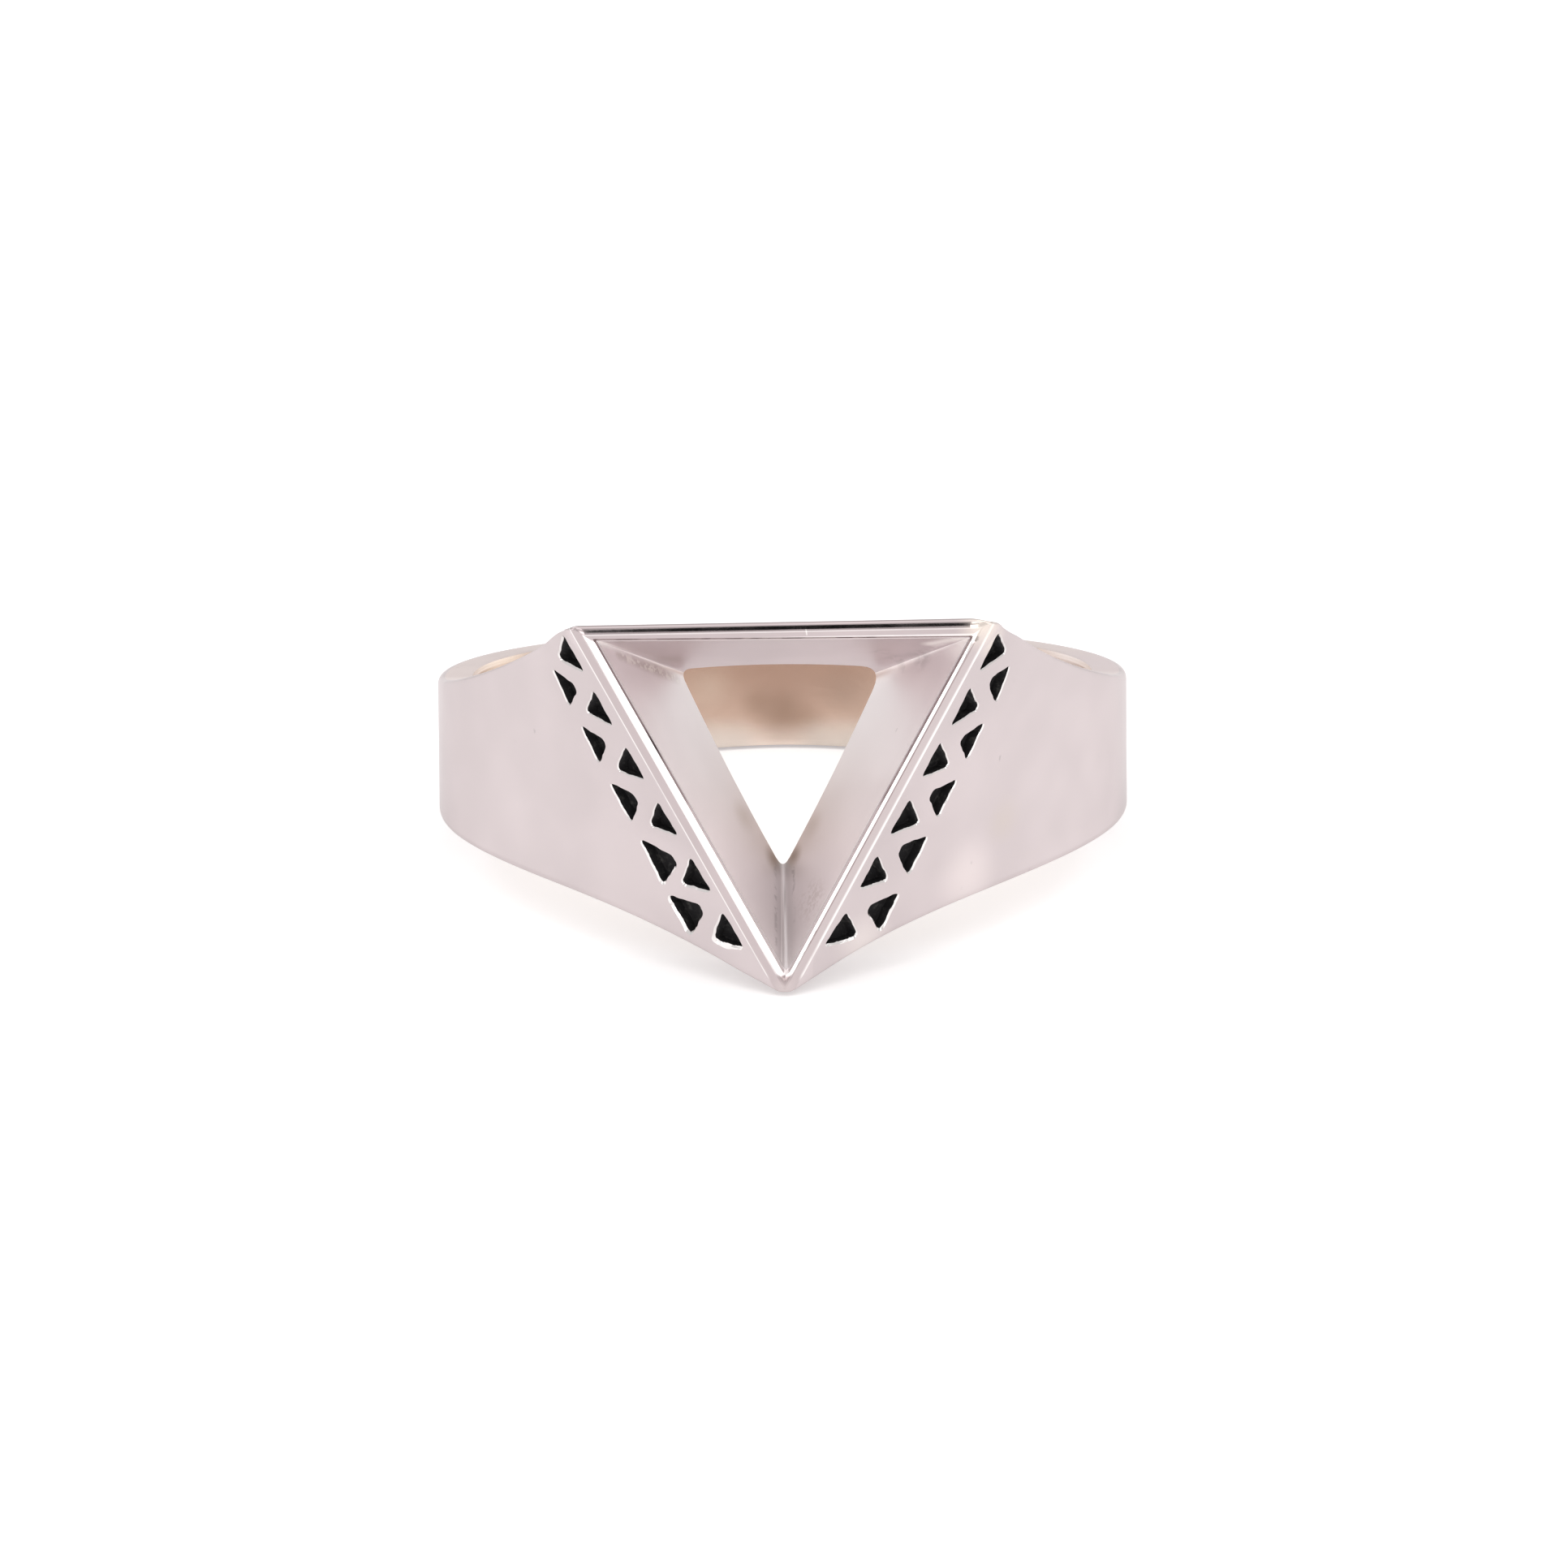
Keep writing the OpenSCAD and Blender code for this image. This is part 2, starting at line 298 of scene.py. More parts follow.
def meshFromFaces(name, points, faces, materials, faceMaterial):
    mesh = bpy.data.meshes.new(name)
    mesh.from_pydata(points.tolist(), [], faces)
    for material in materials:
        mesh.materials.append(material)
    mesh.polygons.foreach_set("material_index", np.asarray(faceMaterial, np.int32))
    mesh.update()
    # faces point outwards where the volume that they enclose counts as positive
    mesh.calc_loop_triangles()
    corners = np.zeros(len(mesh.loop_triangles) * 3, np.int32)
    mesh.loop_triangles.foreach_get("vertices", corners)
    a, b, c = np.asarray(points)[corners.reshape(-1, 3)].transpose(1, 0, 2)
    if np.einsum("ij,ij->i", a, np.cross(b, c)).sum() < 0:
        mesh.flip_normals()
    piece = bpy.data.objects.new(name, mesh)
    bpy.context.scene.collection.objects.link(piece)
    return piece


def cutFrom(body, cutter):
    cut = body.modifiers.new("cut", "BOOLEAN")
    cut.operation = "DIFFERENCE"
    cut.solver = "MANIFOLD"
    cut.object = cutter
    bpy.context.view_layer.update()
    mesh = bpy.data.meshes.new_from_object(body.evaluated_get(bpy.context.evaluated_depsgraph_get()))
    body.modifiers.clear()
    body.data = mesh
    used = cutter.data
    bpy.data.objects.remove(cutter)
    bpy.data.meshes.remove(used)


class Sock:
    # a node's output; Python operators on it add Math nodes
    tree = None

    def __init__(self, socket):
        self.socket = socket

    @staticmethod
    def node(kind, settings=None, out=0, **inputs):
        # inputs are named by their socket, or i and its number
        made = Sock.tree.nodes.new(kind)
        for key, value in (settings or {}).items():
            setattr(made, key, value)
        for key, value in inputs.items():
            numbered = key[0] == "i" and key[1:].isdigit()
            target = made.inputs[int(key[1:]) if numbered else key.replace("_", " ")]
            if isinstance(value, Sock):
                Sock.tree.links.new(value.socket, target)
            else:
                target.default_value = value
        return Sock(made.outputs[out])

    def maths(self, operation, other=0.0, flip=False):
        first, second = (other, self) if flip else (self, other)
        return Sock.node("ShaderNodeMath", {"operation": operation}, i0=first, i1=second)

    def __add__(self, other):
        return self.maths("ADD", other)

    def __radd__(self, other):
        return self.maths("ADD", other, True)

    def __sub__(self, other):
        return self.maths("SUBTRACT", other)

    def __rsub__(self, other):
        return self.maths("SUBTRACT", other, True)

    def __mul__(self, other):
        return self.maths("MULTIPLY", other)

    def __rmul__(self, other):
        return self.maths("MULTIPLY", other, True)

    def ramp(self, start, end):
        # 0 below start, 1 above end, smooth between
        return Sock.node("ShaderNodeMapRange", {"interpolation_type": "SMOOTHSTEP", "clamp": True},
                         Value=self, From_Min=start, From_Max=end, To_Min=0.0, To_Max=1.0)


def mixColour(mask, first, second):
    return Sock.node("ShaderNodeMix", {"data_type": "RGBA"}, out=2, i0=mask,
                     i6=first if isinstance(first, Sock) else (*first, 1),
                     i7=second if isinstance(second, Sock) else (*second, 1))


def noise(place, scale, detail=3.0, rough=0.55):
    return Sock.node("ShaderNodeTexNoise", Vector=place, Scale=scale, Detail=detail, Roughness=rough)


def near(place, centre, radius):
    # 1 at a point of the upright ring, falling to 0 at the radius
    away = Sock.node("ShaderNodeVectorMath", {"operation": "DISTANCE"}, out=1, i0=place, i1=centre)
    return 1 - away.ramp(0.0, radius)


def beside(place, start, end, width):
    # 1 on the straight line between two points, falling to 0 at the width
    run = Vector(end) - Vector(start)
    along = Sock.node("ShaderNodeVectorMath", {"operation": "SUBTRACT"}, i0=place, i1=start)
    share = Sock.node("ShaderNodeVectorMath", {"operation": "DOT_PRODUCT"}, out=1, i0=along,
                      i1=tuple(run / run.length_squared))
    share = Sock.node("ShaderNodeMath", {"operation": "ADD", "use_clamp": True}, i0=share, i1=0.0)
    foot = Sock.node("ShaderNodeVectorMath", {"operation": "SCALE"}, i0=tuple(run), i3=share)
    away = Sock.node("ShaderNodeVectorMath", {"operation": "DISTANCE"}, out=1, i0=along, i1=foot)
    return 1 - away.ramp(0.0, width)


def startMaterial(name):
    # a material, its shader, and the place on the upright ring in millimetres, from Object coordinates
    material = bpy.data.materials.new(name)
    material.use_nodes = True
    Sock.tree = material.node_tree
    shader = Sock.tree.nodes["Principled BSDF"]
    objectPlace = Sock.node("ShaderNodeTexCoord", out=3)
    place = Sock.node("ShaderNodeMapping", {"vector_type": "TEXTURE"}, i0=objectPlace,
                      i1=tuple(layDown.translation), i2=(-lean, 0, 0), i3=(0.001, 0.001, 0.001))
    return material, shader, place


def feed(shader, **links):
    for key, value in links.items():
        target = shader.inputs[key.replace("_", " ")]
        if isinstance(value, Sock):
            Sock.tree.links.new(value.socket, target)
        else:
            target.default_value = value


silverLook = {
    "skin": (0.62, 0.553, 0.558),
    "rim": (0.52, 0.45, 0.455),
    # painted light: the rim's right side is lighter
    "rimRightLit": (0.57, 0.50, 0.50),
    # painted shade: the dark line between the facets, and the inner facets near the point
    "rimShadeLine": (0.30, 0.235, 0.235),
    # painted highlight on the rim's ridge, inner facets and top lines
    "rimHighlight": (0.95, 0.925, 0.915),
    # painted shade in the step's crease
    "crease": (0.42, 0.35, 0.35),
    # painted light: the funnel's side walls are a much lighter copy of the silver than its top wall
    "funnel": (0.975, 0.92, 0.92),
    "funnelTop": (0.66, 0.585, 0.60),
    "hole": (0.61, 0.455, 0.37),
    # painted light: the band's top face, which faces the lamps above, is a lighter copy of the silver
    "edge": (0.84, 0.74, 0.71),
    # painted highlight on the recesses' burrs
    "burr": (0.80, 0.77, 0.76),
    "grazing": (0.80, 0.78, 0.78),
}
# Stains, wear and streaks, and among them painted light and shade. A spot has a centre, a radius, a colour,
# a strength and the scale of its speckles, or 0 for none; a line has a start, an end, a width and the same
# three
skinMarks = {
    "spots": [
        ((6.4, -7.9, -1.0), 1.0, (0.6, 0.53, 0.47), 0.35, 0),
        ((8.8, -2.6, 1.6), 1.3, (0.72, 0.64, 0.55), 0.3, 0),
        # painted light: a cream sheen at the top right corner, then lighter patches where the lower edges and
        # the point mirror the floor
        ((6.0, -11.5, 4.9), 0.8, (0.85, 0.77, 0.7), 0.6, 0),
        ((5.9, -9.3, -2.7), 1.8, (0.92, 0.83, 0.81), 0.75, 0),
        ((-5.6, -9.5, -2.6), 1.5, (0.68, 0.61, 0.61), 0.5, 0),
        ((2.5, -11.2, -4.1), 1.3, (0.82, 0.76, 0.73), 0.7, 0),
    ],
    "lines": [],
}
edgeMarks = {
    "spots": [
        ((9.3, 1.5, 1.9), 4.5, (0.82, 0.72, 0.725), 0.95, 0),
    ],
    "lines": [],
}
rimMarks = {
    "spots": [
        # painted shade at the point of the face: an even tone over its painted highlights
        ((0.0, -12.0, -5.4), 0.7, (0.6, 0.53, 0.525), 0.9, 0),
        # painted creamy sheen on the rounded top right corner
        ((5.8, -11.9, 5.4), 0.9, (0.86, 0.77, 0.68), 0.7, 0),
        ((-0.03, -12.0, -4.8), 0.09, (0.1, 0.07, 0.07), 0.9, 0),
    ],
    "lines": [
        ((0.68, -12.0, 5.5), (0.72, -12.0, 5.2), 0.035, (0.9, 0.88, 0.85), 0.7, 0),
    ],
}
funnelMarks = {
    "spots": [
        ((-3.3, -9.9, 4.05), 0.7, (0.42, 0.37, 0.35), 0.3, 0),
        ((3.35, -9.8, 4.1), 0.6, (0.45, 0.41, 0.41), 0.45, 3.0),
        ((4.0, -10.3, 4.3), 0.6, (0.45, 0.41, 0.41), 0.45, 3.0),
        ((2.85, -10.4, 4.4), 0.5, (0.45, 0.41, 0.41), 0.4, 3.0),
        ((-0.01, -11.7, -4.3), 0.08, (0.12, 0.1, 0.1), 0.9, 0),
        ((-0.3, -9.3, -1.9), 0.6, (0.3, 0.22, 0.15), 0.95, 0),
        ((0.32, -9.3, -1.8), 0.5, (0.3, 0.22, 0.15), 0.85, 0),
        ((0.9, -11.1, -2.9), 1.0, (0.4, 0.32, 0.25), 0.85, 7.0),
        ((0.8, -9.4, -0.8), 0.6, (0.6, 0.51, 0.44), 0.35, 0),
        ((-1.1, -9.6, -0.5), 0.7, (0.62, 0.54, 0.47), 0.4, 0),
        # painted shade deep in the funnel's bottom
        ((0.0, -10.8, -3.6), 4.2, (0.7, 0.65, 0.65), 0.95, 0),
    ],
    "lines": [
        ((-4.75, -11.2, 4.5), (-2.95, -9.1, 3.5), 0.28, (0.46, 0.39, 0.34), 0.38, 0),
        ((-4.75, -11.2, 4.5), (-2.95, -9.1, 3.5), 0.26, (1.0, 0.97, 0.93), 1.0, 6.0),
        ((-5.25, -11.9, 5.02), (-4.45, -10.9, 4.52), 0.11, (1.0, 0.98, 0.96), 1.0, 0),
        ((5.15, -11.9, 5.03), (4.3, -11.3, 4.75), 0.42, (1.0, 0.98, 0.96), 1.0, 0),
        ((5.1, -11.85, 4.93), (4.1, -10.6, 4.35), 0.22, (1.0, 0.98, 0.96), 0.8, 2.0),
        # painted shade along the seam at the bottom of the funnel
        ((0.0, -9.2, -2.1), (0.0, -11.9, -4.5), 0.5, (0.42, 0.39, 0.39), 0.45, 0),
        ((-0.28, -9.4, -2.0), (-0.22, -11.6, -3.9), 0.12, (0.38, 0.35, 0.35), 0.5, 4.0),
        ((0.27, -9.6, -2.1), (0.2, -11.6, -3.9), 0.13, (0.38, 0.35, 0.35), 0.5, 4.0),
        ((-0.08, -9.3, -2.2), (-0.1, -11.8, -4.4), 0.05, (1.0, 0.97, 0.95), 0.6, 0),
        ((0.03, -9.5, -2.4), (0.0, -11.7, -4.3), 0.045, (0.28, 0.24, 0.24), 0.65, 0),
    ],
}
holeMarks = {
    "spots": [
        ((0.0, 9.1, -0.8), 1.1, (0.36, 0.25, 0.18), 0.55, 0),
        ((-0.8, 9.05, -0.4), 0.7, (0.36, 0.25, 0.18), 0.4, 0),
        ((0.8, 9.0, -1.0), 0.8, (0.36, 0.25, 0.18), 0.4, 0),
        ((1.9, 8.9, 0.0), 1.3, (0.4, 0.3, 0.24), 0.5, 0),
        ((-2.2, 8.8, 0.2), 1.0, (0.72, 0.6, 0.5), 0.5, 0),
        # painted light: paler cream at the finger hole's two sides
        ((-8.4, 3.2, 1.8), 3.4, (0.95, 0.79, 0.66), 0.95, 0),
        ((8.4, 3.2, 1.8), 3.4, (0.82, 0.72, 0.68), 0.95, 0),
    ],
    "lines": [
        ((-3.0, 8.6, -1.9), (3.0, 8.6, -1.9), 1.2, (0.92, 0.86, 0.8), 0.8, 0),
        ((-3.0, 8.6, -1.7), (-1.5, 8.95, -1.7), 1.1, (0.58, 0.52, 0.47), 0.8, 0),
        ((1.2, 9.0, -1.7), (3.0, 8.6, -1.7), 1.1, (0.54, 0.48, 0.43), 0.85, 0),
    ],
}
# the crease's own marks: near-black spots, more painted shade along the top, and lighter lines along the
# right leg and the lower half that take the painted shade back
creaseMarks = {
    "spots": [
        ((-3.6, -11.9, 2.1), 0.8, (0.03, 0.02, 0.02), 0.9, 0),
        ((3.4, -11.9, 2.1), 0.9, (0.03, 0.02, 0.02), 0.9, 4.0),
    ],
    "lines": [
        ((4.9, -11.9, 4.6), (0.5, -11.9, -3.8), 0.5, (0.66, 0.58, 0.58), 0.8, 2.0),
        ((-4.7, -11.9, 5.0), (4.7, -11.9, 5.1), 0.3, (0.16, 0.12, 0.12), 0.9, 1.5),
        ((-2.7, -11.9, 0.0), (0.0, -11.9, -4.9), 0.6, (0.74, 0.68, 0.68), 0.9, 0),
        ((2.7, -11.9, 0.0), (0.0, -11.9, -4.9), 0.6, (0.7, 0.64, 0.64), 0.9, 0),
    ],
}
noMarks = {"spots": [], "lines": []}


def rimShade(place, shade):
    # bands at even distances from the outline of the face, all painted light and shade: a painted highlight
    # on the ridge, the inner facet along the two sides painted bright as a highlight, painted highlight lines
    # along the top and a painted dark line between the facets on the right
    x, y, z = (Sock.node("ShaderNodeSeparateXYZ", out=k, i0=place) for k in range(3))
    wide = Sock.node("ShaderNodeMath", {"operation": "ABSOLUTE"}, i0=x)
    aside = ((z - apexZ) * math.tan(edge) - wide) * math.cos(edge)
    fromTop = (size["headTop"] + size["askew"] * x - z) * size["topShare"]
    away = Sock.node("ShaderNodeMath", {"operation": "MINIMUM"}, i0=aside, i1=fromTop)
    sides = 1 - (aside - fromTop).ramp(-0.02, 0.02)
    onRight = x.ramp(-1.0, 1.0)
    low = (0 - z).ramp(4.7, 5.0)

    def band(start, end, soft=0.012):
        return away.ramp(start - soft, start + soft) * (1 - away.ramp(end - soft, end + soft))

    facet, inner, dark = size["facetWidth"], silverLook["rimHighlight"], silverLook["rimShadeLine"]
    aboveTip = 1 - (0 - z).ramp(4.68, 4.86)
    # noise that breaks up the painted highlights and the painted dark line
    patchy = noise(place, 1.3).ramp(0.25, 0.55) * 0.35 + 0.65
    bright = away.ramp(facet - 0.02, facet + 0.015) * (1 - onRight)
    bright = bright + band(facet + 0.055, 0.40, 0.02) * onRight
    ridge = band(-0.016, 0.012, 0.022) * (1 - low)
    between = band(facet, facet + 0.03, 0.015) * sides * onRight * (1 - low)
    topLines = band(facet, facet + 0.03) * 0.4 + band(0.40, 0.46) * 0.6
    # painted light: the right side of the rim is lighter
    shade = mixColour(onRight * sides * 0.6, shade, silverLook["rimRightLit"])
    shade = mixColour(ridge * sides * patchy, shade, inner)
    shade = mixColour(band(-0.01, 0.05, 0.03) * sides * onRight * (1 - low) * 0.8 * patchy, shade, inner)
    shade = mixColour(bright * sides * aboveTip, shade, inner)
    # painted shade: near the point the inner facets are darkened instead
    shade = mixColour(bright * sides * (1 - aboveTip) * 0.9, shade, dark)
    # painted shade: a dark line between the facets on the right
    shade = mixColour(between * patchy, shade, dark)
    shade = mixColour(topLines * (1 - sides) * patchy, shade, inner)
    # beyond the ridge the metal is like the shoulder's
    beyond = (1 - aside.ramp(-0.03, 0.03)) * (1 - ridge)
    return mixColour(beyond, shade, silverLook["skin"]), beyond


def silverMaterial(name, colour, roughness, grain, marks):
    # cloudy and finely pitted metal with its marks, painted light and shade among them; the rim and the
    # finger hole have more of their own
    material, shader, place = startMaterial(name)
    darker = tuple(0.95 * c for c in colour)
    lighter = tuple(min(1.0, 1.035 * c) for c in colour)
    shade = mixColour(noise(place, 0.26, 2.0).ramp(0.35, 0.7), darker, lighter)
    pits = noise(place, 2.6, 2.0).ramp(0.74, 0.80)
    shade = mixColour(pits * 0.35, shade, tuple(0.55 * c for c in colour))
    if name == "rimSilver":
        shade, beyond = rimShade(place, shade)
    for centre, radius, tint, strength, speckle in marks["spots"]:
        mask = near(place, centre, radius) * strength
        if speckle:
            mask = mask * noise(place, speckle).ramp(0.45, 0.6)
        shade = mixColour(mask, shade, tint)
    for start, end, width, tint, strength, speckle in marks["lines"]:
        mask = beside(place, start, end, width) * strength
        if speckle:
            mask = mask * noise(place, speckle).ramp(0.48, 0.58)
        shade = mixColour(mask, shade, tint)
    rough = roughness + 0.06 * (noise(place, 0.9) - 0.5)
    metal = 1.0
    if name == "holeSilver":
        # painted light: paler and less metallic at the two sides
        pale = near(place, (-8.4, 3.2, 1.8), 4.4) + near(place, (8.4, 3.2, 1.8), 4.4)
        metal = 1 - pale * (1.5 - 0.6 * pale)
    if name == "rimSilver":
        # duller at the three corners and beyond the ridge
        corners = near(place, (6.0, -11.9, 5.5), 0.9) + near(place, (-6.1, -11.9, 5.5), 0.7)
        rough = rough + 0.22 * corners
        rough = rough + 0.22 * near(place, (0.0, -12.0, -5.4), 0.9) * (1 - beyond) + 0.18 * beyond
    feed(shader, Base_Color=shade, Metallic=metal, Specular_Tint=(*silverLook["grazing"], 1), Roughness=rough)
    relief = noise(place, 1.5, 4.0)
    feed(shader, Normal=Sock.node("ShaderNodeBump", Strength=grain, Distance=0.00002, Height=relief))
    return material


def blackenedMaterial():
    # recess floors and walls: matt black, with worn grey ridges
    material, shader, place = startMaterial("blackenedRecess")
    grit = noise(place, 5.2, 4.0, 0.65)
    feed(shader, Base_Color=mixColour(grit.ramp(0.5, 0.75), (0.012, 0.011, 0.012), (0.05, 0.048, 0.045)),
         Metallic=0.0, Roughness=0.75, Specular_IOR_Level=0.25)
    feed(shader, Normal=Sock.node("ShaderNodeBump", Strength=0.6, Distance=0.00004, Height=grit))
    return material


look = silverLook
finishes = [silverMaterial("shoulderSilver", look["skin"], 0.24, 0.05, skinMarks),
            silverMaterial("rimSilver", look["rim"], 0.06, 0.02, rimMarks),
            silverMaterial("funnelLitSilver", look["funnel"], 0.45, 0.12, funnelMarks),
            silverMaterial("holeSilver", look["hole"], 0.26, 0.12, holeMarks),
            blackenedMaterial(),
            silverMaterial("funnelTopSilver", look["funnelTop"], 0.42, 0.12, funnelMarks),
            silverMaterial("creaseShadeSilver", look["crease"], 0.30, 0.12, creaseMarks),
            silverMaterial("burrHighlightSilver", look["burr"], 0.15, 0.12, noMarks),
            silverMaterial("litTopFaceSilver", look["edge"], 0.30, 0.05, edgeMarks)]
print("materials made")

right, rowCounts = ringSide(1)
left, _ = ringSide(-1)
flank = -left[..., 1] / -size["ridgeY"]
hang = smoothStep(flank, 0.6, 0.9) * (1 - smoothStep(flank, 0.94, 1.0))
left[..., 2] -= size["leftFlank"] * hang * smoothStep(-left[..., 2], 1.5, 4.0)
points = np.concatenate([right, left[-2:0:-1]], 0)
slope = size["askew"] * smoothStep(-points[..., 1], 5, 11.5) * smoothStep(points[..., 2], 3.0, 5.3)
points[..., 2] += slope * points[..., 0]
# the top corners of the head are worn down, and the left one swells beside the face
wide = points[..., 0]
rise = -0.07 * bump(wide, 6.0, 0.6) - 0.09 * bump(wide, 6.6, 0.5) + 0.05 * bump(wide, 7.2, 0.45)
rise += 0.11 * bump(-wide, 6.75, 0.65) - 0.04 * bump(-wide, 6.15, 0.3)
points[..., 2] += rise * smoothStep(-points[..., 1], 9.6, 11.4) * smoothStep(points[..., 2], 3.2, 4.8)
# each face's finish, by its place in the list of finishes
starts = np.concatenate([[0], np.cumsum(rowCounts)])
finish = np.zeros(points.shape[:2], int)
firstFace = backColumns + shoulderColumns - 1
faceColumns = slice(firstFace, 2 * columnCount - 2 - firstFace)
finish[faceColumns, :starts[2]] = 1
finish[faceColumns, starts[7]:] = 1
finish[:, starts[3]:starts[6]] = 3
# the top face takes the lighter silver, painted light
finish[:, starts[2]:starts[3]] = 8
ring = meshFromGrid("ring", points, finishes, finish)
print("ring body", points.shape)

funnelSizes = {
    "rimWidth": 0.405,
    "faceDepth": 2.9,        # from the face to the finger hole
    "sideLean": 1.32,        # how far the walls lean in on that way
    "topLean": 1.29,
    "topLow": 0.05,          # the funnel's top is set this much lower than the rim's width alone gives
    "stepDepth": 0.11,       # the small step inside the rim
    "stepWidth": 0.06,
    "ledgeDepth": 0.012,
    "ledgeWidth": 0.028,
    "rimShift": 0.04,        # the rim is wider on the left by twice this
    "windowShift": -0.03,
    "windowRounding": 0.07,
    # rounding of the bottom, right and left corner at the rim, and how much more at the window
    "rimCorners": (0.26, 0.05, 0.03),
    "windowCorners": (0.12, 0.74, 0.42),
}


def funnelCutter(form):
    # sections of the funnel are triangles that shrink with depth. Each side is divided more finely near its
    # ends, where a parabola rounds the corner. The last rows follow the finger hole's wall and flare a
    # little, so that the window's edge is round
    count = 26
    share = (1 - np.cos(np.pi * np.arange(count) / count)) / 2
    leg, side = np.repeat([0, 1, 2], count), np.tile(share, 3)
    pick = np.arange(len(leg))

    def section(inset, topInset, depth=0.0):
        # a triangle inside the face's outline, as x and z; depth is 0 at the rim and 1 at the window
        low = apexZ + inset / math.sin(edge)
        high = size["headTop"] - form["topLow"] - topInset
        half = (high - low) * math.tan(edge)
        corners = np.stack([np.stack([0 * half, half, -half]), np.stack([low, high, high])])
        start, end = corners[:, leg, pick], corners[:, (leg + 1) % 3, pick]
        before = corners[:, (leg + 2) % 3, pick]
        point = start + (end - start) * side
        length = np.linalg.norm(end - start, axis=0)
        for first in (True, False):
            # the half of a corner's parabola that lies on this side of the triangle
            here, there = (start, end) if first else (end, start)
            corner = leg if first else (leg + 1) % 3
            reach = np.array(form["rimCorners"])[corner] + depth * np.array(form["windowCorners"])[corner]
            away = (side if first else 1 - side) * length
            t = np.clip(0.5 + 0.5 * away / reach, 0.5, 1)
            toThere = (there - here) / length
            toOther = (before - here) / np.linalg.norm(before - here, axis=0)
            bend = here + reach * ((1 - t) ** 2 * toOther + t ** 2 * toThere)
            point = np.where(away < reach, bend, point)
        return point[0] + form["rimShift"] + (form["windowShift"] - form["rimShift"]) * depth, point[1]

    flat = np.ones(len(leg))
    rim, face, stepEnd = form["rimWidth"], size["facePlane"], form["stepDepth"] + form["ledgeDepth"]
    wallStart = form["stepWidth"] + form["ledgeWidth"] - form["sideLean"] * stepEnd / form["faceDepth"]

    def wall(y, flare=0.0):
        # the straight wall's section at a depth
        down = (y - face) / form["faceDepth"]
        inset = rim + wallStart * (1 - down) - flare
        depth = np.clip(down, 0, 1) ** 2
        return section(inset + form["sideLean"] * down, inset + form["topLean"] * down, depth)

    # where the wall meets the finger hole, found in a few rounds
    yEnd = -size["holeRadius"] * flat
    for step in range(8):
        x, z = wall(yEnd)
        yEnd = -np.sqrt(size["holeRadius"] ** 2 - x * x)
    mouth = section(rim * flat, rim * flat)
    ledge = section((rim + form["stepWidth"]) * flat, (rim + form["stepWidth"]) * flat)
    # the cutter starts in front of the face and ends inside the finger hole
    rows = [(mouth, (face - 0.6) * flat), (mouth, (face + 0.01) * flat)]
    rows.append((ledge, (face + form["stepDepth"]) * flat))
    first = face + stepEnd
    rows.append((wall(first * flat), first * flat))
    bend = form["windowRounding"]
    for part in np.linspace(0, 1, 6)[1:]:
        y = first + (yEnd - bend - first) * part
        rows.append((wall(y), y))
    for part in (0.25, 0.5, 0.75, 1.0):
        y = yEnd - bend * (1 - part)
        rows.append((wall(y, bend * 0.5 * part ** 2), y))
    rows.append((wall(yEnd + 0.25, bend * 1.5), yEnd + 0.25))
    rows.append((wall(yEnd, bend * 1.5), -7.2 * flat))
    grid = np.stack([np.stack([x, y, z], -1) for (x, z), y in rows])
    count, around = grid.shape[:2]
    i, j = np.meshgrid(np.arange(count - 1), np.arange(around), indexing="ij")
    nextJ = (j + 1) % around
    here, deeper = i * around, (i + 1) * around
    quads = np.stack([here + j, here + nextJ, deeper + nextJ, deeper + j], -1)
    faces = quads.reshape(-1, 4).tolist()
    faces += [list(range(around))[::-1], list(range((count - 1) * around, count * around))]
    # the top wall, the two side walls with painted light that makes them much lighter, and inside the rim the
    # step's crease, painted dark as shade, and its bright ledge
    walls = np.tile(np.where(leg == 1, 5, 2), (count - 1, 1))
    walls[1], walls[2] = 6, 0
    finish = walls.reshape(-1).tolist() + [2, 2]
    return meshFromFaces("funnelCutter", grid.reshape(-1, 3), faces, finishes, finish)


cutFrom(ring, funnelCutter(funnelSizes))
print("funnel cut", len(ring.data.polygons))

# Corners of each recess: distance up the ridge from the apex, and across the skin from the ridge
innerLeft = [[(12.5, .57), (11.4, .61), (11.96, 1.59)], [(10.67, .65), (9.62, .64), (10.18, 1.6)],
             [(8.83, .59), (7.8, .54), (8.28, 1.55)], [(6.96, .51), (5.92, .46), (6.44, 1.34)],
             [(5.08, .43), (4.04, .36), (4.49, 1.28)], [(3.25, .36), (2.13, .32), (2.63, 1.17)]]
innerRight = [[(12.45, .55), (11.31, .64), (12.01, 1.6)], [(10.67, .63), (9.52, .67), (10.17, 1.61)],
              [(8.87, .57), (7.8, .57), (8.31, 1.55)], [(6.97, .54), (5.89, .5), (6.46, 1.47)],
              [(5.1, .44), (4.11, .42), (4.57, 1.31)], [(3.22, .4), (2.17, .25), (2.71, 1.22)]]
outerLeft = [[(11.59, 2.34), (10.51, 2.37), (10.96, 1.46)], [(9.76, 2.28), (8.66, 2.3), (9.14, 1.42)],
             [(7.92, 2.23), (6.72, 2.14), (7.28, 1.29)], [(6.06, 2.11), (4.7, 2.06), (5.2, .98)],
             [(4.24, 2.07), (3.06, 1.95), (3.59, .96)]]
outerRight = [[(11.58, 2.28), (10.5, 2.44), (11.05, 1.45)], [(9.75, 2.32), (8.66, 2.29), (9.15, 1.48)],
              [(7.92, 2.25), (6.8, 2.19), (7.33, 1.29)], [(6.09, 2.13), (4.92, 2.07), (5.53, 1.12)],
              [(4.24, 2.06), (3.11, 1.99), (3.59, 1.06)]]
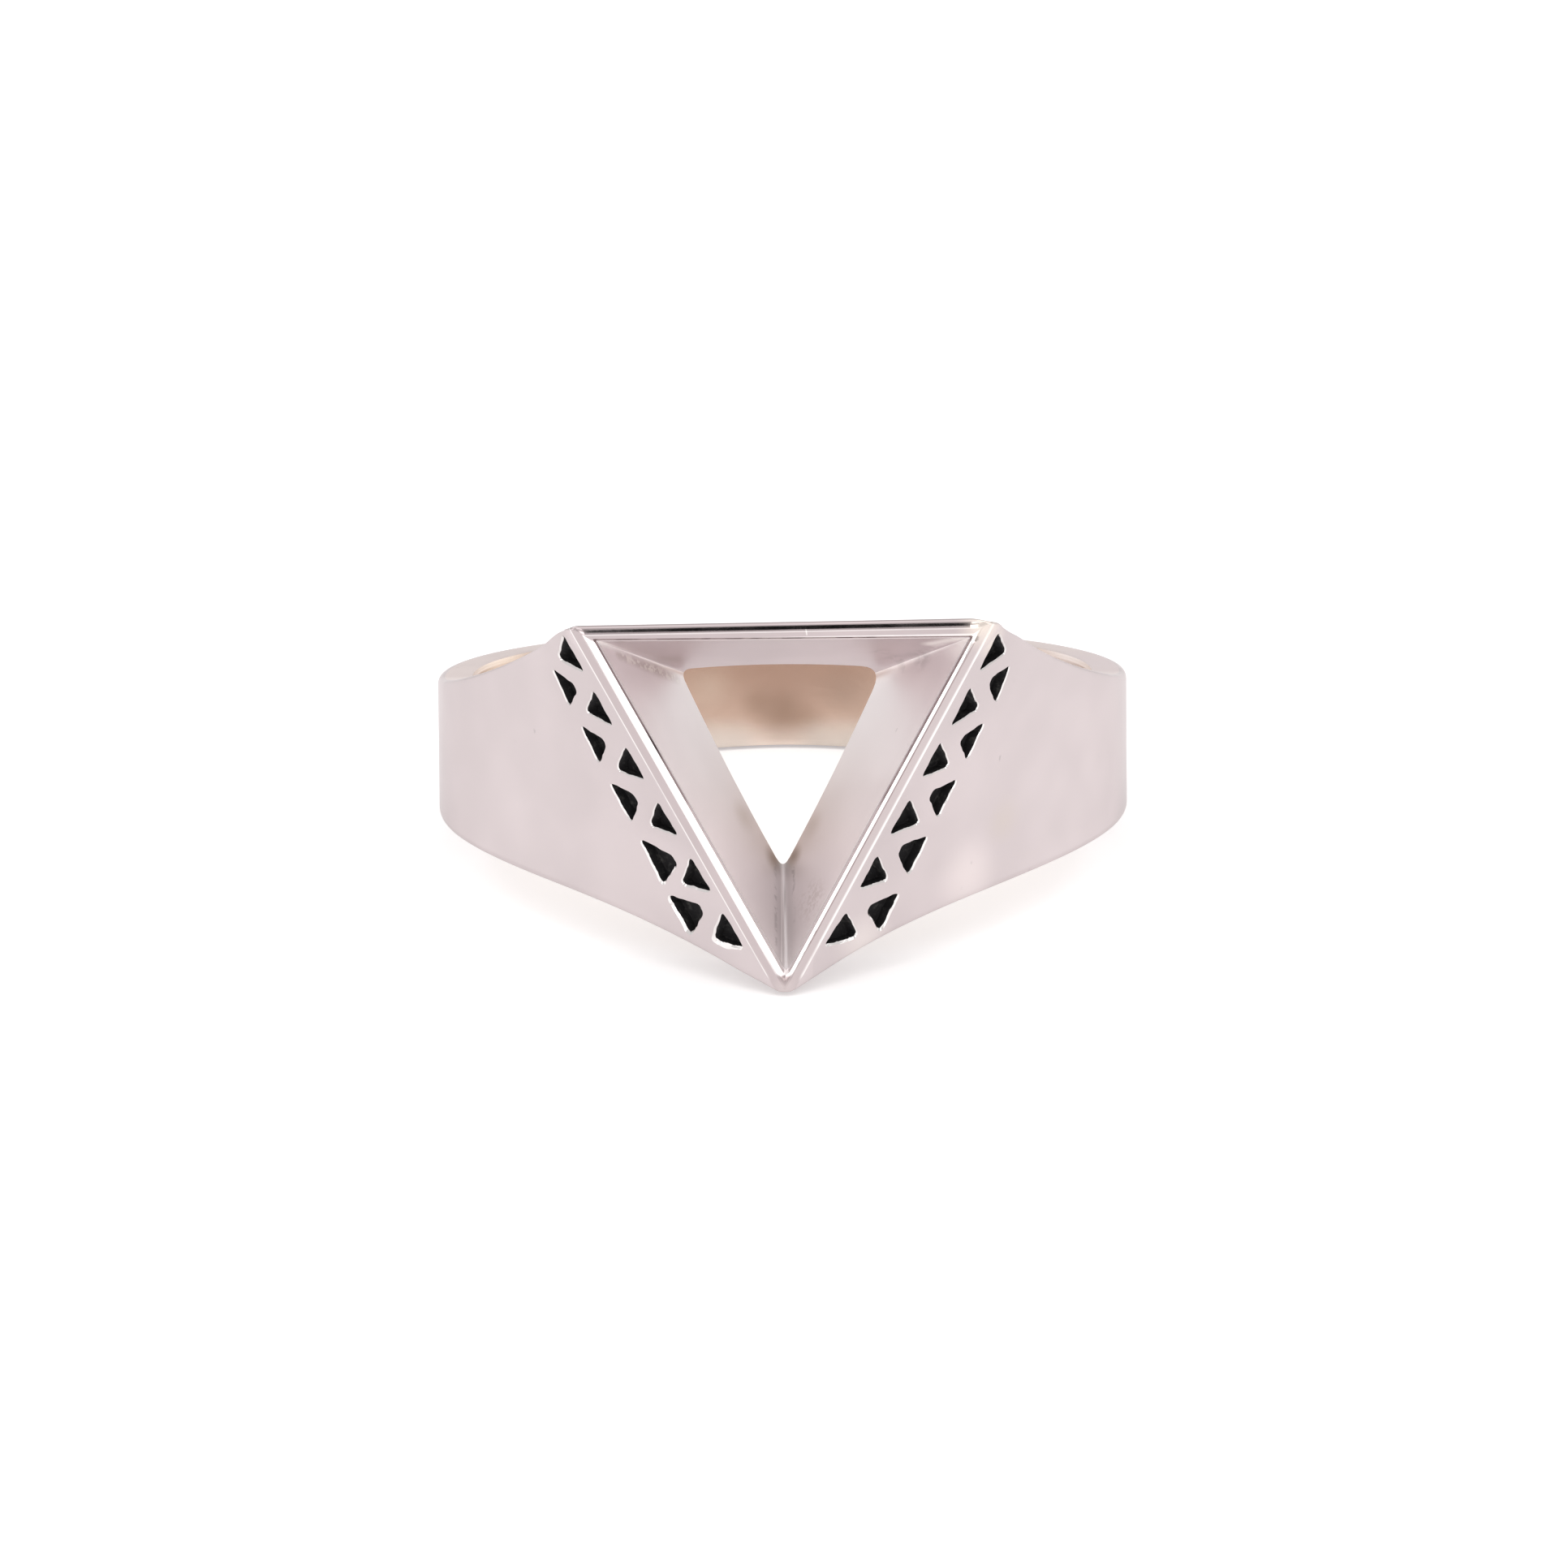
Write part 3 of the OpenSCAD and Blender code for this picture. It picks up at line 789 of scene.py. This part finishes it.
recessLook = {
    "depth": 0.40,
    "grow": 0.035,           # outlines were taken inside their rounded corners
    "bevel": 0.03,
    "wander": 0.022,         # hand-cut waviness
    # width of the burr, painted bright as a highlight, on each recess's low side, in the order of the corner
    # tables
    "burr": [.01, .01, .01, .015, .02, .06,
             .01, .01, .01, .015, .03, .04,
             .01, .01, .02, .04, .035,
             .01, .01, .02, .03, .04],
    # raggedness of the same side
    "ragged": [.02, .02, .02, .02, .03, .045,
               .02, .02, .02, .02, .04, .045,
               .02, .03, .03, .04, .03,
               .02, .02, .03, .03, .06],
    "blunt": [.09] * 12 + [.17] * 10,        # share of the triangle cut from its point
    "divisions": (15, 6, 15, 16),            # of the sides beside the point, the blunt point and the base
}


def skinPoint(along, across):
    # point of the right shoulder at a distance up the ridge and a straight distance from it: the angle at
    # which the skin falls away there is found by halving
    low, high = np.zeros_like(along), np.full_like(along, np.pi / 2)
    for step in range(24):
        fall = (low + high) / 2
        y = size["ridgeY"] + across * np.sin(fall)
        z = apexZ + along * math.cos(edge) - across * np.cos(fall) * math.sin(edge)
        x = along * math.sin(edge) + across * np.cos(fall) * math.cos(edge)
        outside = x > skinX(y, z)
        low, high = np.where(outside, fall, low), np.where(outside, high, fall)
    return np.stack([x, y, z], -1)


def recessRing(flat, height):
    # a ring of points on the skin, moved out by a height along the skin's level direction there
    place = skinPoint(flat[..., 0], flat[..., 1])
    probe = 0.02
    ahead = skinX(place[..., 1] + probe, place[..., 2])
    behind = skinX(place[..., 1] - probe, place[..., 2])
    slope = (ahead - behind) / 2 / probe
    outwards = np.stack([np.ones_like(slope), -slope, 0 * slope], -1).mean(1, keepdims=True)
    outwards /= np.linalg.norm(outwards, axis=-1, keepdims=True)
    return place + outwards * height


def outlineNormals(line):
    # across the line between each point's neighbours, and away from the outline's middle
    run = np.roll(line, -1, 1) - np.roll(line, 1, 1)
    normal = np.stack([run[..., 1], -run[..., 0]], -1)
    normal /= np.linalg.norm(normal, axis=-1, keepdims=True) + 1e-9
    away = line - line.mean(1, keepdims=True)
    return normal * np.sign((away * normal).sum((1, 2), keepdims=True))


def recessCutter(triangles, sides, look):
    # each outline is a triangle whose point is blunt, evenly divided, made wavy by sines and smoothed. Rings
    # of it go down from above the skin to the floor, wider at the mouth and drawn in towards the floor
    top, low, tip = np.array(triangles).transpose(1, 0, 2)
    blunt = np.array(look["blunt"])[:, None]
    quads = np.stack([top, tip + blunt * (top - tip), tip + blunt * (low - tip), low], 1)
    pieces = []
    for k, divisions in enumerate(look["divisions"]):
        s = np.linspace(0, 1, divisions, endpoint=False)[None, :, None]
        pieces.append(quads[:, [k]] * (1 - s) + quads[:, [(k + 1) % 4]] * s)
    outline = np.concatenate(pieces, 1)
    count, around = outline.shape[:2]
    which = np.arange(count)[:, None]
    turn = np.linspace(0, 2 * np.pi, around, endpoint=False)[None, :]
    wave = np.sin(3 * turn + 2.1 * which) + 0.8 * np.sin(7 * turn + 4.7 * which + 1)
    wave += 0.5 * np.sin(12 * turn + 7.3 * which)
    outline = outline + outlineNormals(outline) * (look["grow"] + look["wander"] * 0.5 * wave)[..., None]
    outline = (np.roll(outline, 1, 1) + 2 * outline + np.roll(outline, -1, 1)) / 4
    normals = outlineNormals(outline)
    centre = outline.mean(1, keepdims=True)
    lowSide = normals * np.clip(normals @ np.array([-0.75, 0.66]), 0, 1)[..., None]
    swell = (1 + 0.3 * np.sin(5 * turn + 3.3 * which)) * np.array(look["burr"])[:, None]
    burr = lowSide * swell[..., None]
    teeth = np.sin(11 * turn + 3.3 * which) + 0.8 * np.sin(19 * turn + 1.9 * which)
    inside = outline - lowSide * (0.5 * np.abs(teeth) * np.array(look["ragged"])[:, None])[..., None]
    bevel, depth = look["bevel"], look["depth"]
    # height over the skin, growth along the normals, share of the burr, share by which it is drawn in
    levels = [(0.3, 2.6 * bevel, 1.6, 0), (bevel, 2.2 * bevel, 1.5, 0), (-0.45 * bevel, 0.4 * bevel, 0.7, 0)]
    levels += [(-1.2 * bevel, 0, 0, 0), (-0.5 * depth, 0, 0, 0.03), (-0.92 * depth, 0, 0, 0.07)]
    levels += [(-depth, 0, 0, 0.16)]
    rings = []
    for height, grow, share, draw in levels:
        line = centre + (1 - draw) * ((outline if share else inside) - centre)
        rings.append(recessRing(line + normals * grow + burr * share, height))
    rings.append(recessRing(centre + 0.45 * (inside - centre), -depth - 0.01))
    # and the middles of floor and roof
    rings.append(recessRing(centre, -depth - 0.01))
    rings.append(recessRing(centre, levels[0][0]))
    grid = np.concatenate(rings, 1)
    grid[..., 0] *= np.array(sides, float)[:, None]
    full = len(levels) + 1
    total = full * around + 2
    i, j = np.meshgrid(np.arange(full - 1), np.arange(around), indexing="ij")
    nextJ = (j + 1) % around
    here, below = i * around, (i + 1) * around
    wallFaces = np.stack([here + j, here + nextJ, below + nextJ, below + j], -1).reshape(-1, 4)
    k = np.arange(around)
    nextK = (k + 1) % around
    floorFaces = np.stack([(full - 1) * around + k, (full - 1) * around + nextK, 0 * k + full * around], -1)
    roofFaces = np.stack([nextK, k, 0 * k + full * around + 1], -1)
    # burrs painted bright as highlights on the first three rings and black below, on all of the recesses
    faces, finish = [], []
    wallFinish = np.repeat([7, 7, 7] + [4] * (full - 4), around)
    nextPoint = np.roll(outline, -1, 1)
    area = (outline[..., 0] * nextPoint[..., 1] - outline[..., 1] * nextPoint[..., 0]).sum(1)
    for number in range(count):
        order = slice(None) if sides[number] * area[number] > 0 else slice(None, None, -1)
        for block in (wallFaces, floorFaces, roofFaces):
            faces += (block[:, order] + number * total).tolist()
        finish += wallFinish.tolist() + [4] * around + [0] * around
    return meshFromFaces("recessCutter", grid.reshape(-1, 3), faces, finishes, finish)


triangles = innerLeft + innerRight + outerLeft + outerRight
sides = [-1] * len(innerLeft) + [1] * len(innerRight) + [-1] * len(outerLeft) + [1] * len(outerRight)
cutFrom(ring, recessCutter(triangles, sides, recessLook))
mesh = ring.data
print("recesses cut", len(mesh.polygons))

mesh.transform(layDown)
mesh.polygons.foreach_set("use_smooth", np.ones(len(mesh.polygons), bool))
mesh.set_sharp_from_angle(angle=math.radians(28))
mesh.update()
ring.name = mesh.name = "silverRing"
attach(ring, "root")
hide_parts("ring")

# The camera stands where it sees the ring at this size and place in the picture
cameraPlace = {
    "distance": 350.0,       # millimetres
    "above": 10.0,           # degrees above the plane of the finger hole
    "roll": 0.52,
    "pictureWidth": 1932,    # pixels
    "scale": 41.33,          # pixels per millimetre at the ring's middle
    "middle": (964.4, 912.8),
    "sensorWidth": 36,
}


def placeCamera(form):
    # aims at the point of the ring's own plane that comes out in the middle of the picture
    above, roll = math.radians(form["above"]), math.radians(form["roll"])
    back = Vector((0, -math.cos(above), math.sin(above)))
    up = Vector((0, math.sin(above), math.cos(above)))
    rightWay = Vector((1, 0, 0))
    rolledRight = rightWay * math.cos(roll) - up * math.sin(roll)
    rolledUp = up * math.cos(roll) + rightWay * math.sin(roll)
    half = form["pictureWidth"] / 2
    offX, offY = form["middle"][0] - half, half - form["middle"][1]
    aim = -(rolledRight * offX + rolledUp * offY) / form["scale"]
    eye = back * form["distance"]
    turn = layDown.to_3x3().normalized()
    eyePlace, aimPlace = layDown @ eye, layDown @ aim
    zAxis = (eyePlace - aimPlace).normalized()
    xAxis = turn @ rolledRight
    xAxis = (xAxis - zAxis * xAxis.dot(zAxis)).normalized()
    yAxis = zAxis.cross(xAxis)
    data = bpy.data.cameras.new("camera")
    data.sensor_width = form["sensorWidth"]
    data.lens = form["sensorWidth"] * form["scale"] * form["distance"] / form["pictureWidth"]
    data.clip_start, data.clip_end = 0.01, 20
    camera = bpy.data.objects.new("camera", data)
    camera.matrix_world = Matrix((
        (xAxis.x, yAxis.x, zAxis.x, eyePlace.x), (xAxis.y, yAxis.y, zAxis.y, eyePlace.y),
        (xAxis.z, yAxis.z, zAxis.z, eyePlace.z), (0, 0, 0, 1)))
    bpy.context.scene.collection.objects.link(camera)
    bpy.context.scene.camera = camera


placeCamera(cameraPlace)


def flatSheet(name, corners, material):
    # one flat face through the corners, for the studio
    mesh = bpy.data.meshes.new(name)
    mesh.from_pydata(corners, [], [tuple(range(len(corners)))])
    mesh.materials.append(material)
    sheet = bpy.data.objects.new(name, mesh)
    bpy.context.scene.collection.objects.link(sheet)


studio = {
    "room": 0.80,            # brightness of the white room
    "roomTint": (1.0, 0.985, 0.98),
    "floor": (0.82, 0.815, 0.815),
    "floorGlow": 0.30,
    "floorReach": 3.0,
    # name: (azimuth, elevation, distance, width, height, radiance)
    "lamps": {
        "leftFront": (-17, 8, 0.9, 0.36, 0.30, 1.6),
        "rightFront": (17, 8, 0.9, 0.36, 0.30, 1.6),
        "leftStrip": (-62, 16, 0.9, 0.12, 0.45, 2.0),
        "rightStrip": (62, 16, 0.9, 0.12, 0.45, 2.2),
        "leftFill": (-28, 42, 0.9, 0.40, 0.45, 1.1),
        "rightFill": (28, 42, 0.9, 0.40, 0.45, 1.1),
        "leftHigh": (-95, 55, 0.9, 0.45, 0.45, 1.5),
        "rightHigh": (95, 55, 0.9, 0.45, 0.45, 1.5),
        "topBox": (0, 84, 0.9, 0.7, 0.7, 0.6),
    },
    # dark cloth above the camera, mirrored in the rim's top: azimuth, elevation, distance, width, height and
    # shade
    "cloths": {
        "darkCloth": (-0.15, 26, 1.4, 0.080, 0.85, 0.004),
    },
}


def direction(azimuth, elevation):
    # unit vector from the ring towards a place round it, from the front, and above it
    a, e = math.radians(azimuth), math.radians(elevation)
    return Vector((math.sin(a) * math.cos(e), -math.cos(a) * math.cos(e), math.sin(e)))


def lightStudio(form):
    world = bpy.data.worlds.new("room")
    bpy.context.scene.world = world
    world.use_nodes = True
    background = world.node_tree.nodes["Background"]
    background.inputs["Color"].default_value = (*form["roomTint"], 1)
    background.inputs["Strength"].default_value = form["room"]
    target = Vector((0, 0, 0.005))
    for name, (azimuth, elevation, away, wide, tall, radiance) in form["lamps"].items():
        lamp = bpy.data.lights.new(name, "AREA")
        lamp.shape = "RECTANGLE"
        lamp.size, lamp.size_y = wide, tall
        lamp.energy = radiance * math.pi * wide * tall
        holder = bpy.data.objects.new(name, lamp)
        way = direction(azimuth, elevation)
        holder.location = target + way * away
        holder.rotation_euler = way.to_track_quat("Z", "Y").to_euler()
        bpy.context.scene.collection.objects.link(holder)
    floorMaterial, shader, _ = startMaterial("paleFloor")
    feed(shader, Base_Color=(*form["floor"], 1), Roughness=0.6, Specular_IOR_Level=0.2,
         Emission_Color=(1, 0.99, 0.99, 1), Emission_Strength=form["floorGlow"])
    far = form["floorReach"]
    flatSheet("floor", [(-far, -far, 0), (far, -far, 0), (far, far, 0), (-far, far, 0)], floorMaterial)
    turn = np.linspace(0, 2 * np.pi, 48, endpoint=False)
    for name, (azimuth, elevation, away, wide, tall, shade) in form["cloths"].items():
        cloth, shader, _ = startMaterial(name)
        feed(shader, Base_Color=(shade, shade, shade, 1), Roughness=1.0, Specular_IOR_Level=0.0)
        way = direction(azimuth, elevation)
        middle = target + way * away
        across = Vector((math.cos(math.radians(azimuth)), math.sin(math.radians(azimuth)), 0))
        upWay = across.cross(-way).normalized()
        flatSheet(name, [tuple(middle + across * wide / 2 * math.cos(a) + upWay * tall / 2 * math.sin(a))
                         for a in turn], cloth)


lightStudio(studio)
bpy.context.scene.view_settings.view_transform = "Standard"
print("studio set")
